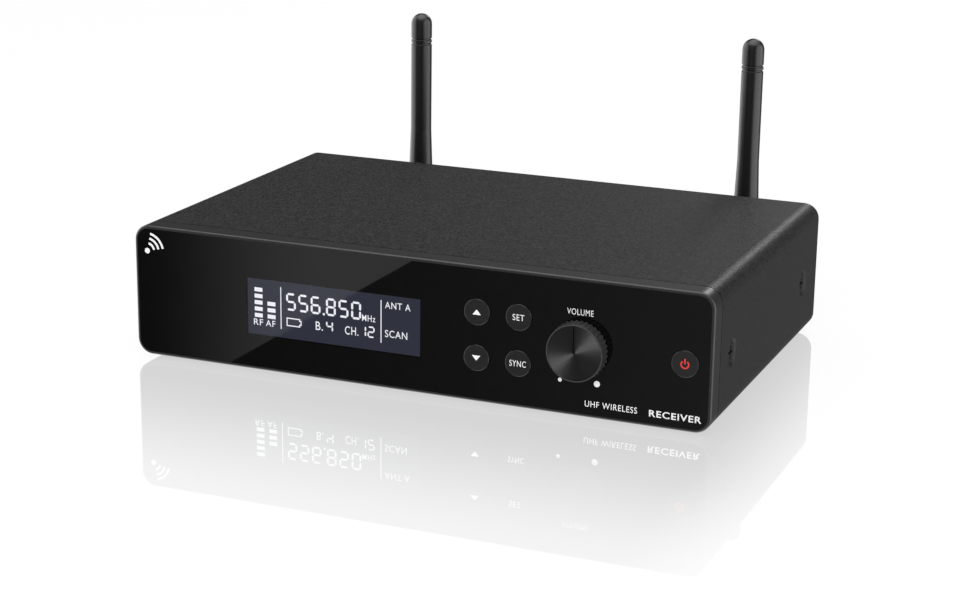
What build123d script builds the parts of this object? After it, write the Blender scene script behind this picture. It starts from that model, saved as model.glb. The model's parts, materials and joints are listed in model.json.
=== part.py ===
from build123d import *
import math
import os

# Half-rack wireless microphone receiver, one rack unit high, with two folding rear antennas.
# Millimetres. +X is right as seen from the front, the front faces -Y, +Z is up.
# The pieces are laid out with Y = 0 on the front face and Z = 0 under the feet.
# When they are written, they move along Y so that the origin is under the middle of the whole object.

# ---- housing ----
BODY_W = 200.0            # over the cover's sides
BODY_H = 44.5             # over the cover, without the feet
BODY_D = 126.0            # front face to the cover's rear edge
CORNER_R = 5.3            # outer corners of the housing
FOOT_PROUD = 1.5          # feet below the cover
FOOT_R = 5.5
FOOT_EDGE = 0.5
FOOT_IN_X = 20.0          # foot centre from the side
FOOT_IN_Y = 16.0          # foot centre from the chassis ends
COVER_T = 1.0
COVER_LIP = 12.0          # width of each lip under the bottom
CHASSIS_T = 1.0
CHASSIS_BELOW_TOP = 4.5   # side flanges end this far below the cover's top
FIT_GAP = 0.15            # between nested housing pieces
SEAM_GAP = 0.35           # visible seam between the bezel and the cover

# ---- front bezel and panel ----
BEZEL_D = 7.2
BEZEL_WALL = 2.0
RIM_W = 1.05              # bezel rim around the glossy panel
RIM_R = 0.8               # rounding of the rim's outer edge
PANEL_T = 2.0
PANEL_SINK = 0.15
WEB_T = 1.5               # bezel web behind the panel
SPIGOT_L = 3.0            # tongue of the bezel inside the cover
SPIGOT_T = 1.5
ARM_T = 1.8               # side arms that take the front side screws
ARM_H = 12.0
ARM_REACH = 19.5
PCB_T = 1.6

# ---- display ----
WINDOW_X = -27.5
WINDOW_Z = 21.4           # above the body's underside
WINDOW_W = 62.2
WINDOW_H = 19.3
LCD_BORDER = 2.4          # LCD glass beyond the window, each side
LCD_T = 1.8
LCD_GAP = 0.2
HOLDER_BORDER = 3.2

# ---- buttons ----
BUTTON_R = 4.3
BUTTON_GAP = 0.15
BUTTON_PROUD = 0.3
BUTTON_EDGE = 0.25
BUTTON_FLANGE = 0.9       # retaining flange beyond the cap
BUTTON_FLANGE_T = 0.8
BUTTON_TRAVEL = 0.5
BUTTON_STEM_R = 2.0
BUTTON_UPPER_Z = 29.5
BUTTON_LOWER_Z = 14.5
BUTTON_NEAR_X = 23.1
BUTTON_FAR_X = 37.1
POWER_IN_X = 8.8          # power button centre from the right side
POWER_Z = 21.6
TACT_W = 6.0
TACT_T = 3.5
TACT_STEM_R = 1.6
TACT_STEM_PROUD = 1.0
TACT_STEM_DEEP = 1.4
TACT_CLEAR = 0.1
LED_W = 2.0
LED_H = 1.2

# ---- volume knob and potentiometer ----
KNOB_X = 57.2
KNOB_Z = 21.7
KNOB_FACE_R = 9.15
KNOB_BASE_R = 9.5
KNOB_H = 4.4
KNOB_GAP = 0.4
KNOB_RIM_W = 0.35
KNOB_RIM_H = 0.55
KNOB_INSERT_T = 0.6
KNOB_INSERT_SINK = 0.12
KNOB_BORE_WALL = 0.6      # between the metal face and the bore
KNOB_FLUTES = 36
KNOB_FLUTE_R = 0.6
KNOB_FLUTE_DEEP = 0.32
POINTER_W = 0.9
POINTER_DEEP = 0.45
SHAFT_R = 3.0
SHAFT_CLEAR = 0.06
SHAFT_PRESS = 0.02
SHAFT_END_GAP = 0.1       # shaft end in the knob, and in the potentiometer
POT_W = 9.8
POT_H = 11.4
POT_WALL = 1.8            # case behind the shaft
BUSH_R = 3.75
BUSH_END = 0.2            # bushing end behind the front face
POT_NUT_AF = 10.0
POT_NUT_T = 1.6
POT_HOLE_R = 6.3

# ---- boards ----
UI_DEPTH = 7.8            # web to control board
UI_LEFT_X = -70.5
UI_RIGHT_IN = 5.0         # board edge from the right side
UI_EDGE_Z = 4.0           # board edge from the body's underside and top
POST_R = 2.6
POST_LEFT_X = -66.5
POST_RIGHT_X = 74.0
POST_IN_Z = 7.5
STANDOFF_H = 5.0
STANDOFF_R = 2.8
BOARD_IN_X = 8.0
BOARD_FRONT_Y = 22.0
BOARD_REAR_IN = 8.0
BOARD_HOLE_IN = 6.0
NOTCH_CLEAR = 2.0         # board cut away this far round the large jacks
SMALL_SCREW_R = 1.2
SMALL_SCREW_CLEAR = 0.05
SMALL_HEAD_R = 2.3
SMALL_HEAD_T = 1.6
SMALL_SCREW_L = 6.0
HEAD_ROUND = 0.45         # rounding of a pan head, as a share of its height
RECESS_R = 0.55           # driver recess, as a share of the head's radius
RECESS_DEEP = 0.6         # driver recess, as a share of the head's height
RECESS_ARM = 0.36         # width of a recess arm, as a share of the recess radius

# ---- parts on the main board ----
SHIELD_W = 46.0
SHIELD_D = 36.0
SHIELD_H = 7.0
SHIELD_REAR_IN = 46.0     # shield middle from the cover's rear edge
CAPACITORS = 4
CAPACITOR_PITCH = 10.5
CAPACITOR_R = 4.0
CAPACITOR_H = 11.0
CAPACITOR_IN = 42.0       # row from the board's front edge
CHIP_W = 12.0
CHIP_H = 1.4
CHIP_ROW = 0.6            # of the way from the board's front edge to the shields
CHIP_XS = (-60.0, -30.0, 30.0, 60.0)
RIBBON_X = 4.0
RIBBON_W = 20.0
RIBBON_T = 0.9
RIBBON_BEND_R = 4.0
SOCKET_W = 24.0
SOCKET_H = 6.0
SOCKET_T = 5.0
SOCKET_UP = 0.66          # socket height on the control board, as a share of the body's height
SOCKET_IN = 8.0           # lower socket from the board's front edge

# ---- side and rear screws ----
SIDE_SCREW_Z = 20.6
SIDE_SCREW_FRONT = 20.4
SIDE_SCREW_REAR_IN = 18.5
SIDE_SINK_R = 4.5         # countersink at the cover's outside
SIDE_HEAD_SINK = 0.6      # screw head below the cover's outside
SIDE_SHANK_R = 2.0
SIDE_SCREW_L = 6.0
SIDE_SCREW_CLEAR = 0.06
SIDE_BOSS_R = 3.8
SIDE_BOSS_T = 2.6
REAR_T = 1.2
REAR_INSET = 1.0
REAR_SCREW_IN_X = 9.0
REAR_SCREW_IN_Z = 9.0
REAR_HEAD_R = 2.8
REAR_HEAD_T = 1.8
REAR_SHANK_R = 1.45
REAR_SCREW_L = 7.0
EAR_W = 12.0
EAR_HOLE_L = 9.0          # screw clearance in front of the rear panel

# ---- rear jacks ----
ANT_IN_X = 34.5           # antenna jack from the side
BNC_R = 4.8
BNC_BORE_R = 4.05
BNC_L = 11.0
BNC_LUG_R = 0.9
BNC_LUG_REACH = 5.5
BNC_TAIL_L = 9.0
BNC_HEX_AF = 14.0
BNC_HEX_T = 3.0
BNC_NUT_T = 2.5
BNC_WASHER_T = 0.6
BNC_WASHER_R = 8.0
BNC_CORE_R = 2.2
BNC_CONTACT_R = 1.2
BNC_SOCKET_R = 0.75
BNC_CORE_SINK = 3.0       # insulator below the jack's mouth
BNC_CONTACT_SINK = 3.5
BNC_CONTACT_TAIL = 3.0
BNC_LUG_AT = 0.75         # of the jack's length
THREAD_CLEAR = 0.03       # between a nut and its thread
XLR_X = -26.0
XLR_FLANGE_W = 26.0
XLR_FLANGE_H = 31.0
XLR_FLANGE_T = 1.8
XLR_R = 12.0
XLR_CUP_R = 9.5
XLR_CUP_DEEP = 15.8
XLR_BODY_L = 21.0
XLR_INSERT_T = 4.0
XLR_PIN_R = 1.25
XLR_PIN_RING_R = 3.6
XLR_PIN_SINK = 3.0
XLR_PIN_TAIL = 2.0
XLR_PIN_ANGLES = (30, 150, 270)
XLR_CORNER_R = 2.5
XLR_SCREW_X = 9.5
XLR_SCREW_Z = 12.0
JACK_X = 6.0
JACK_W = 16.0
JACK_H = 20.0
JACK_L = 28.0
JACK_BORE_R = 3.25
JACK_BUSH_R = 5.4
JACK_BUSH_PROUD = 3.2
JACK_NUT_R = 7.4
JACK_NUT_T = 2.4
JACK_END_WALL = 2.0
DC_X = 30.0
DC_W = 9.0
DC_H = 11.0
DC_L = 13.5
DC_PROUD = 0.6
DC_BORE_R = 3.1
DC_BORE_DEEP = 9.5
DC_PIN_R = 1.05
DC_PIN_SINK = 1.0
HOOK_X = 44.0
HOOK_W = 5.0
HOOK_T = 2.0
HOOK_SLOT = 3.6
HOOK_H = 14.0
HOOK_FOOT_T = 1.5
HOOK_FINGER = 0.75        # finger height, as a share of the hook's
HOOK_ROUND = 0.4          # rounding of the finger, as a share of its thickness
JACK_HOLE_GAP = 0.1

# ---- antennas ----
ANT_REACH = 31.0          # rod axis behind the rear panel
ANT_TOP = 95.8            # rod tip above the body's underside
ROD_R = 3.95
ROD_ROOT_R = 4.8
ROD_FLARE_TOP = 51.0      # flare ends at this height above the body's underside
ROD_GROOVES = (9.7, 11.4) # below the tip
ROD_GROOVE_R = 0.45
ROD_GROOVE_OUT = 0.1      # groove axis outside the rod
RING_R = 7.2
RING_BORE_R = 5.7
RING_LIP_R = 4.6
RING_START = 4.6          # ring from the rear panel
RING_END = 17.0
RING_LIP_T = 1.4
RING_FLUTES = 20
RING_FLUTE_R = 0.7
RING_FLUTE_OUT = 0.21     # flute axis outside the ring
RING_EDGE = 0.6
PLUG_SLEEVE_R = 3.9
PLUG_SLEEVE_BORE_R = 2.4
PLUG_START = 4.5
PLUG_PIN_R = 0.65
PLUG_COLLAR_R = 5.5
PLUG_COLLAR_START = 11.5
NECK_R = 4.4
YOKE_R = 5.0
YOKE_START = 18.0
YOKE_SLOT_START = 23.5
EAR_R = 4.7
EAR_OUT = 4.9
TONGUE_HALF = 2.15
TONGUE_GAP = 0.25
TONGUE_W = 8.46           # tongue along Y above the hinge
JOIN = 0.5                # how far pieces of one solid run into each other
OVERCUT = 2.0             # how far the yoke's slot cutter runs past it
ROD_SHOULDER = 5.2        # rod shoulder from the hinge axis
HINGE_PIN_R = 1.2
HINGE_CLEAR = 0.06

# ---- places worked out from the sizes above ----
MID_Z = FOOT_PROUD + BODY_H / 2
TOP_Z = FOOT_PROUD + BODY_H
SIDE_X = BODY_W / 2
PANEL_BACK = PANEL_SINK + PANEL_T
WEB_BACK = PANEL_BACK + WEB_T
UI_Y = WEB_BACK + UI_DEPTH
UI_BACK = UI_Y + PCB_T
REAR_OUT = BODY_D - REAR_INSET
REAR_IN = REAR_OUT - REAR_T
NEST_IN = COVER_T + FIT_GAP              # outline step from the cover's outside to what it holds
CHASSIS_FRONT = BEZEL_D + SPIGOT_L + FIT_GAP
CHASSIS_REAR = REAR_IN - FIT_GAP
FLOOR_UNDER = FOOT_PROUD + NEST_IN
FLOOR_TOP = FLOOR_UNDER + CHASSIS_T
FLANGE_X = SIDE_X - NEST_IN - CHASSIS_T  # inner face of the chassis side flange
ARM_X = FLANGE_X - FIT_GAP               # outer face of the bezel arm
BOARD_Z = FLOOR_TOP + STANDOFF_H
BOARD_TOP = BOARD_Z + PCB_T
SCREW_Z = FOOT_PROUD + SIDE_SCREW_Z
DC_Z = BOARD_TOP + DC_H / 2
ANT_X = SIDE_X - ANT_IN_X
SIDE_HEAD_R = SIDE_SINK_R - SIDE_HEAD_SINK - SIDE_SCREW_CLEAR
HINGE_Y = REAR_OUT + ANT_REACH
KNOB_FRONT = -(KNOB_GAP + KNOB_H)
KNOB_POCKET = KNOB_FRONT + KNOB_INSERT_SINK + KNOB_INSERT_T
KNOB_BORE = KNOB_POCKET + KNOB_BORE_WALL
SHIELD_Y = BODY_D - SHIELD_REAR_IN
ANT_BACK = HINGE_Y + max(EAR_R, ROD_ROOT_R)
BUTTONS = {
    "up": (BUTTON_NEAR_X, FOOT_PROUD + BUTTON_UPPER_Z),
    "down": (BUTTON_NEAR_X, FOOT_PROUD + BUTTON_LOWER_Z),
    "set": (BUTTON_FAR_X, FOOT_PROUD + BUTTON_UPPER_Z),
    "sync": (BUTTON_FAR_X, FOOT_PROUD + BUTTON_LOWER_Z),
    "power": (SIDE_X - POWER_IN_X, FOOT_PROUD + POWER_Z),
}
SIDES = {"left": -1, "right": 1}
SIDE_SCREW_YS = (SIDE_SCREW_FRONT, BODY_D - SIDE_SCREW_REAR_IN)
REAR_SCREWS = [
    (side * (SIDE_X - REAR_SCREW_IN_X), z)
    for side in (-1, 1)
    for z in (FOOT_PROUD + REAR_SCREW_IN_Z, TOP_Z - REAR_SCREW_IN_Z)
]
POSTS = [
    (x, z)
    for x in (POST_LEFT_X, POST_RIGHT_X)
    for z in (FOOT_PROUD + POST_IN_Z, TOP_Z - POST_IN_Z)
]
BOARD_HOLES = [
    (side * (SIDE_X - BOARD_IN_X - BOARD_HOLE_IN), y)
    for side in (-1, 1)
    for y in (BOARD_FRONT_Y + BOARD_HOLE_IN, BODY_D - BOARD_REAR_IN - BOARD_HOLE_IN)
]


# ---- shapes used everywhere ----
def block(x, y, z):
    """A box between two limits along each axis."""
    centre = [(low + high) / 2 for low, high in (x, y, z)]
    return Pos(*centre) * Box(x[1] - x[0], y[1] - y[0], z[1] - z[0])


def around(middle, width):
    """Limits of a width about its middle."""
    return (middle - width / 2, middle + width / 2)


def along_y(x, z, y0, y1, radius, end_radius=None):
    """A round bar or cone along Y, from y0 to y1."""
    place = Pos(x, (y0 + y1) / 2, z) * Rot(-90, 0, 0)
    if end_radius is None:
        return place * Cylinder(radius, y1 - y0)
    return place * Cone(radius, end_radius, y1 - y0)


def along_x(x0, x1, y, z, radius):
    """A round bar along X."""
    return Pos((x0 + x1) / 2, y, z) * Rot(0, 90, 0) * Cylinder(radius, abs(x1 - x0))


def along_z(x, y, z0, z1, radius):
    """An upright round bar."""
    return Pos(x, y, (z0 + z1) / 2) * Cylinder(radius, z1 - z0)


def outline(y0, y1, step_in):
    """The housing's rounded outline, stepped in by a distance, from y0 to y1."""
    sketch = RectangleRounded(BODY_W - 2 * step_in, BODY_H - 2 * step_in, CORNER_R - step_in)
    return Pos(0, y0, MID_Z) * Rot(-90, 0, 0) * extrude(sketch, y1 - y0)


def hexagon_y(x, z, y0, y1, across_flats):
    """A hexagonal prism along Y."""
    sketch = RegularPolygon(across_flats / 2, 6, major_radius=False)
    return Pos(x, y0, z) * Rot(-90, 0, 0) * extrude(sketch, y1 - y0)


def cut_all(solid, tools):
    """Cuts each tool from a solid."""
    for tool in tools:
        solid = solid - tool
    return solid


def join_all(pieces):
    """Joins pieces that touch into one solid."""
    whole = pieces[0]
    for piece in pieces[1:]:
        whole = whole + piece
    return whole


def group(pieces):
    """Like pieces that share a node and stay separate solids."""
    return Compound([solid for piece in pieces for solid in piece.solids()])


# ---- screws ----
def cross_recess(radius, depth):
    """Cross-shaped driver recess, pointing down from Z = 0."""
    arm = Pos(0, 0, -depth / 2) * Box(2 * radius, RECESS_ARM * radius, depth)
    return arm + Rot(0, 0, 90) * arm


def pan_screw(head_r, head_t, shank_r, length):
    """Pan-head screw: its head stands on Z = 0 and its shank points down."""
    head = Pos(0, 0, head_t / 2) * Cylinder(head_r, head_t)
    head = fillet(head.edges().group_by(Axis.Z)[-1], HEAD_ROUND * head_t)
    shank = Pos(0, 0, -length / 2) * Cylinder(shank_r, length)
    return head + shank - Pos(0, 0, head_t) * cross_recess(RECESS_R * head_r, RECESS_DEEP * head_t)


def countersink(radius, depth):
    """Cone that narrows at 45 degrees below Z = 0."""
    return Pos(0, 0, -depth / 2) * Cone(radius - depth, radius, depth)


def side_screw():
    """Countersunk screw: the flat of its head is on Z = 0 and its shank points down."""
    head_t = SIDE_HEAD_R - SIDE_SHANK_R
    head = countersink(SIDE_HEAD_R, head_t)
    shank = Pos(0, 0, -SIDE_SCREW_L / 2) * Cylinder(SIDE_SHANK_R, SIDE_SCREW_L)
    return head + shank - cross_recess(RECESS_R * SIDE_HEAD_R, head_t)


def side_places(sink=0.0):
    """Places of the four side screws: local +Z points out of the side."""
    return [
        Pos(side * (SIDE_X - sink), y, SCREW_Z) * Rot(0, side * 90, 0)
        for side in (-1, 1)
        for y in SIDE_SCREW_YS
    ]


def side_cuts():
    """Countersink and clearance hole that the side screws need in what they pass."""
    sink = countersink(SIDE_SINK_R, SIDE_SINK_R - SIDE_SHANK_R)
    deep = SIDE_SCREW_L + SIDE_HEAD_SINK + SIDE_SCREW_CLEAR
    hole = Pos(0, 0, -deep / 2) * Cylinder(SIDE_SHANK_R + SIDE_SCREW_CLEAR, deep)
    return [place * (sink + hole) for place in side_places()]


# ---- housing ----
def top_cover():
    """Sheet cover wrapped round the top, both sides and 12 mm of the bottom."""
    front = BEZEL_D + SEAM_GAP
    shell = outline(front, BODY_D, 0) - outline(front, BODY_D, COVER_T)
    slot_half = SIDE_X - COVER_LIP
    slot = block((-slot_half, slot_half), (0, BODY_D), (0, FOOT_PROUD + 2 * COVER_T))
    return cut_all(shell - slot, side_cuts())


def bottom_chassis():
    """Tray inside the cover: floor, side flanges, screw bosses and rear ears."""
    tray = outline(CHASSIS_FRONT, CHASSIS_REAR, NEST_IN)
    tray -= outline(CHASSIS_FRONT, CHASSIS_REAR, NEST_IN + CHASSIS_T)
    flange_top = TOP_Z - CHASSIS_BELOW_TOP
    tray -= block((-SIDE_X, SIDE_X), (0, BODY_D), (flange_top, TOP_Z))
    for side in (-1, 1):
        ear_x = sorted((side * (FLANGE_X - EAR_W), side * (FLANGE_X + CHASSIS_T / 2)))
        ear = block(ear_x, (CHASSIS_REAR - CHASSIS_T, CHASSIS_REAR), (FLOOR_TOP, flange_top))
        boss_x = sorted((side * (FLANGE_X - SIDE_BOSS_T), side * (FLANGE_X + CHASSIS_T / 2)))
        boss = along_x(*boss_x, SIDE_SCREW_YS[1], SCREW_Z, SIDE_BOSS_R)
        corner = outline(CHASSIS_REAR - CHASSIS_T, CHASSIS_REAR, NEST_IN)
        tray = tray + (ear & corner) + boss
    tray = cut_all(tray, side_cuts())
    hole_r = REAR_SHANK_R + SMALL_SCREW_CLEAR
    return cut_all(tray, [along_y(x, z, REAR_IN - EAR_HOLE_L, REAR_IN, hole_r) for x, z in REAR_SCREWS])


def rear_panel():
    """Rear plate inside the cover's rear edge, with the holes for the jacks and screws."""
    plate = outline(REAR_IN, REAR_OUT, NEST_IN)
    cuts = [along_y(x, z, REAR_IN, REAR_OUT, REAR_SHANK_R + FIT_GAP) for x, z in REAR_SCREWS]
    for side in (-1, 1):
        cuts.append(along_y(side * ANT_X, MID_Z, REAR_IN, REAR_OUT, BNC_R + JACK_HOLE_GAP))
    cuts.append(along_y(XLR_X, MID_Z, REAR_IN, REAR_OUT, XLR_R + JACK_HOLE_GAP))
    cuts += [along_y(x, z, REAR_IN, REAR_OUT, SMALL_SCREW_R + FIT_GAP) for x, z in xlr_screw_places()]
    cuts.append(along_y(JACK_X, MID_Z, REAR_IN, REAR_OUT, JACK_BUSH_R + JACK_HOLE_GAP))
    dc_gap = 2 * JACK_HOLE_GAP
    cuts.append(block(around(DC_X, DC_W + dc_gap), (REAR_IN, REAR_OUT), around(DC_Z, DC_H + dc_gap)))
    return cut_all(plate, cuts)


def front_bezel():
    """Moulded frame: rounded rim, web behind the panel, spigot inside the cover and two arms."""
    frame = outline(0, BEZEL_D, 0)
    frame = fillet(frame.edges().group_by(Axis.Y)[0], RIM_R)
    frame -= outline(0, PANEL_BACK, RIM_W)
    frame -= outline(WEB_BACK, BEZEL_D, BEZEL_WALL)
    spigot = outline(BEZEL_D - SPIGOT_L, BEZEL_D + SPIGOT_L, NEST_IN)
    spigot -= outline(BEZEL_D - SPIGOT_L, BEZEL_D + SPIGOT_L, NEST_IN + SPIGOT_T)
    frame += spigot
    for side in (-1, 1):
        arm_x = sorted((side * (ARM_X - ARM_T), side * ARM_X))
        root_x = sorted((side * (ARM_X - ARM_T), side * (SIDE_X - NEST_IN - SPIGOT_T / 2)))
        arm = block(arm_x, (BEZEL_D, BEZEL_D + ARM_REACH), around(SCREW_Z, ARM_H))
        root = block(root_x, (BEZEL_D - SPIGOT_L, BEZEL_D + SPIGOT_L), around(SCREW_Z, ARM_H))
        frame = frame + arm + root
    frame = cut_all(frame, side_cuts())
    frame = join_all([frame] + [along_y(x, z, PANEL_BACK, UI_Y, POST_R) for x, z in POSTS])
    pilot_r = SMALL_SCREW_R + SMALL_SCREW_CLEAR
    pilots = [along_y(x, z, UI_Y - SMALL_SCREW_L, UI_Y, pilot_r) for x, z in POSTS]
    web = (PANEL_BACK, WEB_BACK)
    hole_r = BUTTON_R + BUTTON_FLANGE + 3 * BUTTON_GAP
    buttons = [along_y(x, z, *web, hole_r) for x, z in BUTTONS.values()]
    lcd_cut = 2 * (LCD_BORDER + LCD_GAP)
    lcd = block(
        around(WINDOW_X, WINDOW_W + lcd_cut),
        web,
        around(FOOT_PROUD + WINDOW_Z, WINDOW_H + lcd_cut),
    )
    bush = along_y(KNOB_X, FOOT_PROUD + KNOB_Z, *web, BUSH_R + JACK_HOLE_GAP)
    return cut_all(frame, pilots + buttons + [lcd, bush])


def window_block(y0, y1):
    """The display window's opening, from y0 to y1."""
    return block(around(WINDOW_X, WINDOW_W), (y0, y1), around(FOOT_PROUD + WINDOW_Z, WINDOW_H))


def front_panel():
    """Glossy panel set into the bezel, with its button, knob and window openings."""
    plate = outline(PANEL_SINK, PANEL_BACK, RIM_W)
    cuts = [along_y(x, z, 0, PANEL_BACK, BUTTON_R + BUTTON_GAP) for x, z in BUTTONS.values()]
    cuts.append(along_y(KNOB_X, FOOT_PROUD + KNOB_Z, 0, PANEL_BACK, POT_HOLE_R))
    cuts.append(window_block(0, PANEL_BACK))
    return cut_all(plate, cuts)


def feet():
    """Four round rubber feet under the chassis floor."""
    foot = Pos(0, 0, FLOOR_UNDER / 2) * Cylinder(FOOT_R, FLOOR_UNDER)
    foot = fillet(foot.edges().group_by(Axis.Z)[0], FOOT_EDGE)
    places = [
        Pos(side * (SIDE_X - FOOT_IN_X), y, 0)
        for side in (-1, 1)
        for y in (CHASSIS_FRONT + FOOT_IN_Y, CHASSIS_REAR - FOOT_IN_Y)
    ]
    return group([place * foot for place in places])


def rear_screws():
    """Four pan-head screws through the rear panel into the chassis ears."""
    screw = pan_screw(REAR_HEAD_R, REAR_HEAD_T, REAR_SHANK_R, REAR_SCREW_L)
    return group([Pos(x, REAR_OUT, z) * Rot(-90, 0, 0) * screw for x, z in REAR_SCREWS])


def side_screws():
    """Four countersunk screws through the cover's sides."""
    return group([place * side_screw() for place in side_places(SIDE_HEAD_SINK)])


def cable_hook():
    """Hook on the rear panel that takes the pull off the power lead."""
    reach = HOOK_FOOT_T + HOOK_SLOT + HOOK_T
    x = around(HOOK_X, HOOK_W)
    end = REAR_OUT + reach
    bottom = MID_Z - HOOK_H / 2
    foot = block(x, (REAR_OUT, REAR_OUT + HOOK_FOOT_T), (bottom, bottom + HOOK_H))
    shelf = block(x, (REAR_OUT, end), (bottom, bottom + HOOK_T))
    finger = block(x, (end - HOOK_T, end), (bottom, bottom + HOOK_FINGER * HOOK_H))
    hook = foot + shelf + finger
    return fillet(hook.edges().filter_by(Axis.X).group_by(Axis.Y)[-1], HOOK_ROUND * HOOK_T)


# ---- display and control board ----
def display_nodes():
    """Window lens, LCD glass and the holder with its backlight."""
    lcd_back = PANEL_BACK + LCD_T
    middle_z = FOOT_PROUD + WINDOW_Z
    glass = block(
        around(WINDOW_X, WINDOW_W + 2 * LCD_BORDER),
        (PANEL_BACK, lcd_back),
        around(middle_z, WINDOW_H + 2 * LCD_BORDER),
    )
    holder = block(
        around(WINDOW_X, WINDOW_W + 2 * HOLDER_BORDER),
        (max(lcd_back, WEB_BACK), UI_Y),
        around(middle_z, WINDOW_H + 2 * HOLDER_BORDER),
    )
    return {
        "display_window": window_block(PANEL_SINK, PANEL_BACK),
        "lcd_glass": glass,
        "lcd_holder": holder,
    }


def ui_board():
    """Control board behind the bezel's web."""
    board = block(
        (UI_LEFT_X, SIDE_X - UI_RIGHT_IN),
        (UI_Y, UI_BACK),
        (FOOT_PROUD + UI_EDGE_Z, TOP_Z - UI_EDGE_Z),
    )
    hole_r = SMALL_SCREW_R + FIT_GAP
    return cut_all(board, [along_y(x, z, UI_Y, UI_BACK, hole_r) for x, z in POSTS])


def button_cap(x, z):
    """Round cap with its retaining flange and the stem that pushes the tact switch."""
    flange_front = PANEL_BACK + TACT_CLEAR
    flange_back = flange_front + BUTTON_FLANGE_T
    disc = along_y(x, z, -BUTTON_PROUD, flange_front, BUTTON_R)
    disc = fillet(disc.edges().group_by(Axis.Y)[0], BUTTON_EDGE)
    flange = along_y(x, z, flange_front, flange_back, BUTTON_R + BUTTON_FLANGE)
    stem_end = UI_Y - TACT_T - TACT_STEM_PROUD
    return disc + flange + along_y(x, z, flange_back, stem_end, BUTTON_STEM_R)


def tact_stem(x, z):
    """Plunger of one tact switch."""
    face = UI_Y - TACT_T
    return along_y(x, z, face - TACT_STEM_PROUD, face + TACT_STEM_DEEP, TACT_STEM_R)


def tact_body(x, z):
    """Case of one tact switch, with the well that its plunger moves in."""
    face = UI_Y - TACT_T
    case = block(around(x, TACT_W), (face, UI_Y), around(z, TACT_W))
    well_end = face + TACT_STEM_DEEP + BUTTON_TRAVEL + TACT_CLEAR
    return case - along_y(x, z, face, well_end, TACT_STEM_R + TACT_CLEAR)


def status_led():
    """Red light beside the power switch that lights its cap."""
    x, z = BUTTONS["power"]
    led_z = z + TACT_W / 2 + LED_H
    return block(around(x, LED_W), (UI_Y - LED_H, UI_Y), around(led_z, LED_H))


# ---- volume knob and potentiometer ----
def volume_knob():
    """Fluted knob with a thin front rim, a pocket for its metal face and a bore for the shaft."""
    x, z = KNOB_X, FOOT_PROUD + KNOB_Z
    back = -KNOB_GAP
    body = along_y(x, z, KNOB_FRONT, back, KNOB_FACE_R, KNOB_BASE_R)
    body -= along_y(x, z, KNOB_FRONT, KNOB_POCKET, KNOB_FACE_R - KNOB_RIM_W)
    middle_r = (KNOB_FACE_R + KNOB_BASE_R) / 2 + KNOB_FLUTE_R - KNOB_FLUTE_DEEP
    lean = math.degrees(math.atan2(KNOB_BASE_R - KNOB_FACE_R, KNOB_H))
    flute_front = KNOB_FRONT + KNOB_RIM_H
    flute = Pos(middle_r, flute_front / 2, 0) * Rot(-90, 0, 0) * Rot(0, lean, 0)
    flute = flute * Cylinder(KNOB_FLUTE_R, -flute_front)
    flutes = [
        Pos(x, 0, z) * Rot(0, turn * 360 / KNOB_FLUTES, 0) * flute
        for turn in range(KNOB_FLUTES)
    ]
    return cut_all(body, flutes) - along_y(x, z, KNOB_BORE, back, SHAFT_R + SHAFT_PRESS)


def knob_face():
    """Spun metal disc in the knob's front, with the pointer groove from its centre upwards."""
    x, z = KNOB_X, FOOT_PROUD + KNOB_Z
    front = KNOB_FRONT + KNOB_INSERT_SINK
    radius = KNOB_FACE_R - KNOB_RIM_W
    disc = along_y(x, z, front, front + KNOB_INSERT_T, radius)
    groove = block(around(x, POINTER_W), (front, front + POINTER_DEEP), (z, z + radius))
    return disc - groove


def pot_nodes():
    """Potentiometer: shaft, case with its threaded bushing, and the nut in front of the web."""
    x, z = KNOB_X, FOOT_PROUD + KNOB_Z
    well_end = UI_Y - POT_WALL
    case = block(around(x, POT_W), (WEB_BACK, UI_Y), around(z, POT_H))
    case += along_y(x, z, BUSH_END, WEB_BACK, BUSH_R)
    case -= along_y(x, z, BUSH_END, well_end, SHAFT_R + SHAFT_CLEAR)
    nut = hexagon_y(x, z, PANEL_BACK - POT_NUT_T, PANEL_BACK, POT_NUT_AF)
    nut -= along_y(x, z, 0, PANEL_BACK, BUSH_R)
    return {
        "pot_shaft": along_y(x, z, KNOB_BORE + SHAFT_END_GAP, well_end - SHAFT_END_GAP, SHAFT_R),
        "pot_body": case,
        "pot_nut": nut,
    }


# ---- electronics ----
def main_board():
    """Main board over the chassis floor, notched under the XLR and the 6.3 mm jack."""
    edge_x = SIDE_X - BOARD_IN_X
    rear = BODY_D - BOARD_REAR_IN
    board = block((-edge_x, edge_x), (BOARD_FRONT_Y, rear), (BOARD_Z, BOARD_TOP))
    notch_x = (XLR_X - XLR_R - NOTCH_CLEAR, JACK_X + JACK_W / 2 + NOTCH_CLEAR)
    board -= block(notch_x, (REAR_IN - JACK_L - NOTCH_CLEAR, rear), (BOARD_Z, BOARD_TOP))
    hole_r = SMALL_SCREW_R + FIT_GAP
    return cut_all(board, [along_z(x, y, BOARD_Z, BOARD_TOP, hole_r) for x, y in BOARD_HOLES])


def board_standoffs():
    """Four threaded stand-offs between the chassis floor and the main board."""
    bore_r = SMALL_SCREW_R + SMALL_SCREW_CLEAR
    return group([
        along_z(x, y, FLOOR_TOP, BOARD_Z, STANDOFF_R) - along_z(x, y, FLOOR_TOP, BOARD_Z, bore_r)
        for x, y in BOARD_HOLES
    ])


def board_screws():
    """Pan-head screws of both boards."""
    screw = pan_screw(SMALL_HEAD_R, SMALL_HEAD_T, SMALL_SCREW_R, SMALL_SCREW_L)
    main = [Pos(x, y, BOARD_TOP) * screw for x, y in BOARD_HOLES]
    control = [Pos(x, UI_BACK, z) * Rot(-90, 0, 0) * screw for x, z in POSTS]
    return group(main + control)


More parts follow.
